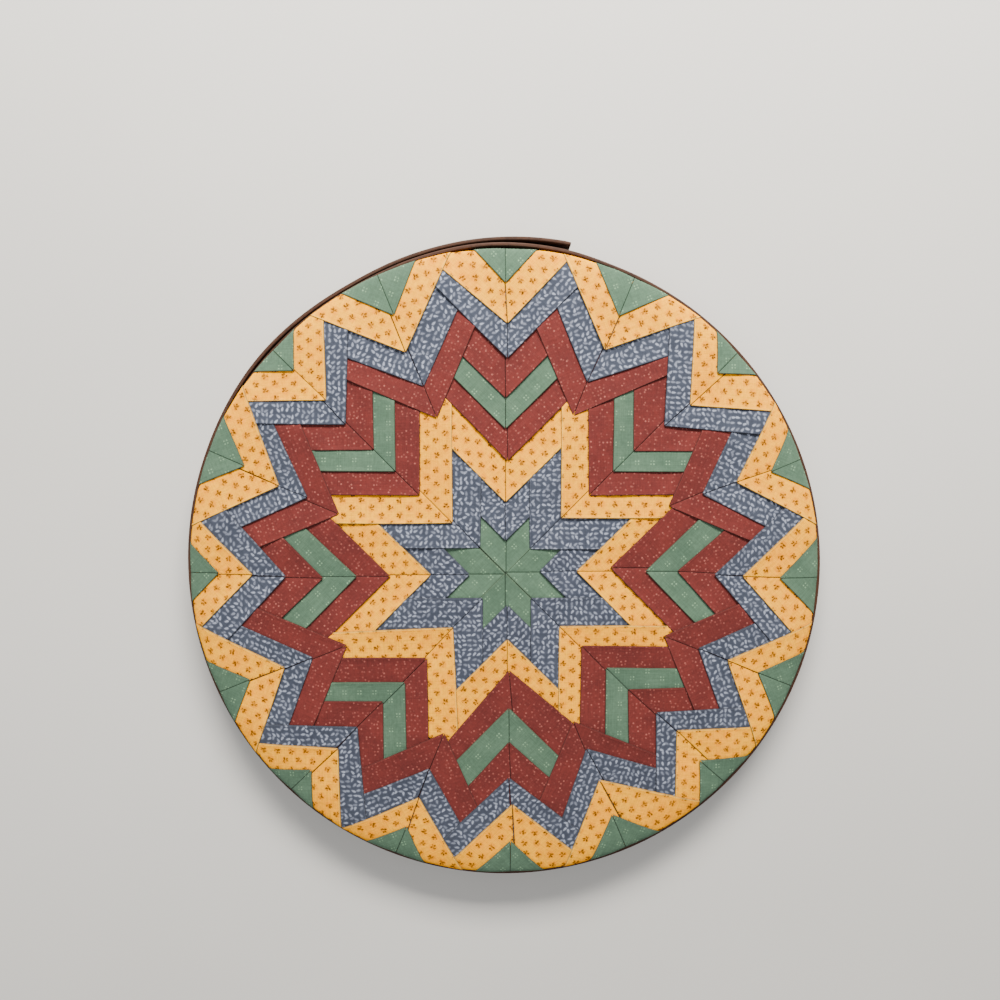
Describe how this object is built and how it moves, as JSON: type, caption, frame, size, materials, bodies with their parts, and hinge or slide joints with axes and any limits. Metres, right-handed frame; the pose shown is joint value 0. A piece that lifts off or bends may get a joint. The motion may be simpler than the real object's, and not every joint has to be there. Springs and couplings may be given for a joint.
{
  "type": "folded star patchwork panel in a bentwood hoop",
  "caption": "Round quilted folded star panel of calico patches, stretched over a plain hoop and held by a lapped bentwood band; open at the back.",
  "frame": {"origin": "middle of the whole outline at the level of the surface that the panel's back lies on; the hoop's own centre is 3.2 mm below it in Y, because the band's lap stands out at the top", "axes": "+Z out of the patchwork face, +Y to the top of the star as pictured, +X to its right"},
  "size_m": [0.3606, 0.3664, 0.0193],
  "materials": {
    "green_calico": "matte printed cotton",
    "blue_calico": "matte printed cotton",
    "yellow_calico": "matte printed cotton",
    "red_calico": "matte printed cotton",
    "foundation_cotton": "matte plain cotton",
    "band_wood": "stained bentwood, satin",
    "hoop_wood": "plain sanded wood"
  },
  "bodies": {
    "root": {"outer_band": "band_wood", "inner_hoop": "hoop_wood", "foundation": "foundation_cotton", "round_1_green": "green_calico", "round_2_blue": "blue_calico", "round_3_yellow": "yellow_calico", "round_4_red_1": "red_calico", "round_4_red_2": "red_calico", "round_4_red_3": "red_calico", "round_4_red_4": "red_calico", "round_4_red_5": "red_calico", "round_4_red_6": "red_calico", "round_4_red_7": "red_calico", "round_4_red_8": "red_calico", "round_5_green_1": "green_calico", "round_5_green_2": "green_calico", "round_5_green_3": "green_calico", "round_5_green_4": "green_calico", "round_5_green_5": "green_calico", "round_5_green_6": "green_calico", "round_5_green_7": "green_calico", "round_5_green_8": "green_calico", "round_6_red": "red_calico", "round_7_blue": "blue_calico", "round_8_yellow": "yellow_calico", "round_9_green_01": "green_calico", "round_9_green_02": "green_calico", "round_9_green_03": "green_calico", "round_9_green_04": "green_calico", "round_9_green_05": "green_calico", "round_9_green_06": "green_calico", "round_9_green_07": "green_calico", "round_9_green_08": "green_calico", "round_9_green_09": "green_calico", "round_9_green_10": "green_calico", "round_9_green_11": "green_calico", "round_9_green_12": "green_calico", "round_9_green_13": "green_calico", "round_9_green_14": "green_calico", "round_9_green_15": "green_calico", "round_9_green_16": "green_calico"}
  },
  "joints": []
}
